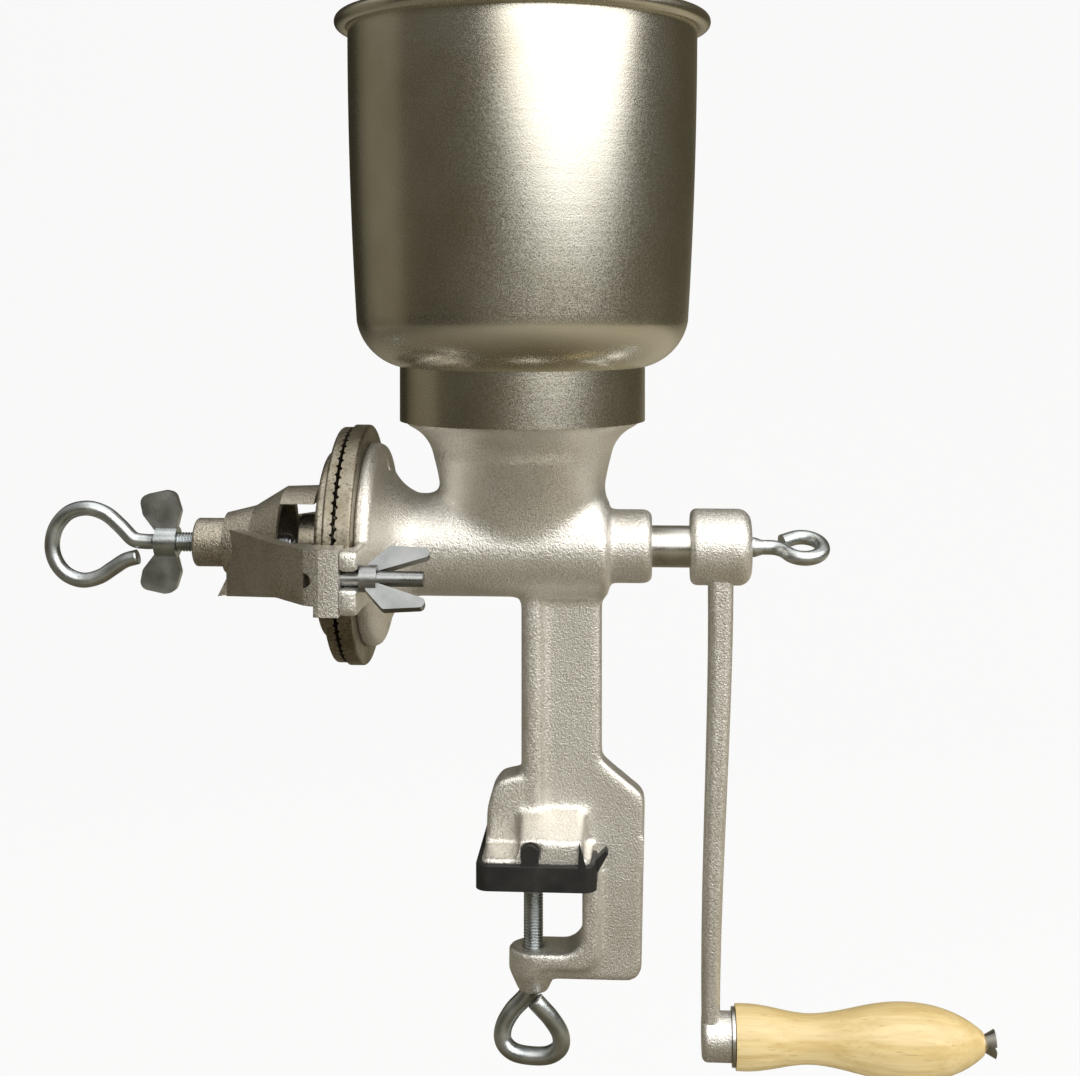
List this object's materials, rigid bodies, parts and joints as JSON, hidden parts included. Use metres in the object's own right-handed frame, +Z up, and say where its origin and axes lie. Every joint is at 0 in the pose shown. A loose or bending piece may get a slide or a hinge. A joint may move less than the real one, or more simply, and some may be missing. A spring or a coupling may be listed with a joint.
{
  "type": "hand crank grinder",
  "caption": "Table-clamped hand crank peanut grinder: tin hopper, tinned iron body, grinding plates set by an eye screw, crank with wooden grip.",
  "frame": {"origin": "on the table top, which is the rubber shoe's underside, on the clamp screw's axis", "axes": "X along the shaft from the grinding plates to the crank, Y away from the near side, Z up"},
  "size_m": [0.3934, 0.154, 0.4311],
  "materials": {
    "tinned_iron": "hot-tinned sand casting, satin, grainy",
    "tinplate": "spun tinplate, satin",
    "plate_iron": "as cast with ground faces",
    "zinc_steel": "bright zinc plating",
    "bare_steel": "turned bare steel",
    "pale_wood": "turned hardwood, clear lacquer",
    "black_rubber": "moulded black rubber"
  },
  "bodies": {
    "frame": {"body_casting": "tinned_iron", "stationary_burr": "plate_iron", "stationary_burr_screws": "zinc_steel", "front_bridge": "tinned_iron", "bridge_bolts": "zinc_steel", "rubber_shoe": "black_rubber"},
    "hopper": {"hopper": "tinplate"},
    "thrust_ball": {"thrust_ball": "bare_steel"},
    "rotor": {"auger_shaft": "bare_steel", "burr_carrier": "plate_iron", "rotating_burr": "plate_iron", "rotating_burr_screws": "zinc_steel", "carrier_pin": "bare_steel", "crank_arm": "tinned_iron", "handle_spindle": "bare_steel", "handle_washer": "bare_steel"},
    "crank_eye_screw": {"crank_eye_screw": "zinc_steel"},
    "grip": {"handle_grip": "pale_wood"},
    "adjusting_screw": {"adjusting_screw": "zinc_steel"},
    "lock_wing_nut": {"lock_wing_nut": "zinc_steel"},
    "wing_nut_near": {"bridge_wing_nut_near": "zinc_steel"},
    "wing_nut_far": {"bridge_wing_nut_far": "zinc_steel"},
    "clamp_pad": {"clamp_pad": "zinc_steel"},
    "clamp_screw": {"clamp_screw": "zinc_steel"}
  },
  "joints": [
    {"name": "hopper_lift", "type": "slide", "parent": "frame", "child": "hopper", "axis": [0, 0, 1], "range_m": [0, 0.02]},
    {"name": "adjust_travel", "type": "slide", "parent": "frame", "child": "thrust_ball", "axis": [1, 0, 0], "range_m": [-0.003, 0.0012]},
    {"name": "crank_spin", "type": "hinge", "parent": "thrust_ball", "child": "rotor", "pos_m": [0, 0, 0.1315], "axis": [1, 0, 0], "continuous": true},
    {"name": "adjust_turn", "type": "hinge", "parent": "thrust_ball", "child": "adjusting_screw", "pos_m": [-0.16, 0, 0.1315], "axis": [1, 0, 0], "range_deg": [-866, 347]},
    {"name": "lock_nut_turn", "type": "hinge", "parent": "adjusting_screw", "child": "lock_wing_nut", "pos_m": [-0.1525, 0, 0.1315], "axis": [1, 0, 0], "range_deg": [0, 2070]},
    {"name": "wing_nut_near_turn", "type": "hinge", "parent": "frame", "child": "wing_nut_near", "pos_m": [-0.059, -0.055, 0.1267], "axis": [1, 0, 0], "range_deg": [0, 2070]},
    {"name": "wing_nut_far_turn", "type": "hinge", "parent": "frame", "child": "wing_nut_far", "pos_m": [-0.059, 0.055, 0.1267], "axis": [1, 0, 0], "range_deg": [0, 2070]},
    {"name": "grip_spin", "type": "hinge", "parent": "rotor", "child": "grip", "pos_m": [0.13, 0, -0.068], "axis": [1, 0, 0], "continuous": true},
    {"name": "crank_eye_turn", "type": "hinge", "parent": "rotor", "child": "crank_eye_screw", "pos_m": [0.09, 0, 0.1315], "axis": [1, 0, 0], "range_deg": [0, 2070]},
    {"name": "clamp_travel", "type": "slide", "parent": "frame", "child": "clamp_pad", "axis": [0, 0, -1], "range_m": [0, 0.0229]},
    {"name": "clamp_turn", "type": "hinge", "parent": "clamp_pad", "child": "clamp_screw", "pos_m": [0, 0, -0.04], "axis": [0, 0, -1], "range_deg": [0, 6600]}
  ],
  "couplings": [
    {"joint": "adjust_turn", "follows": "adjust_travel", "rad_per_m": 5026.5},
    {"joint": "clamp_turn", "follows": "clamp_travel", "rad_per_m": 5026.5}
  ]
}
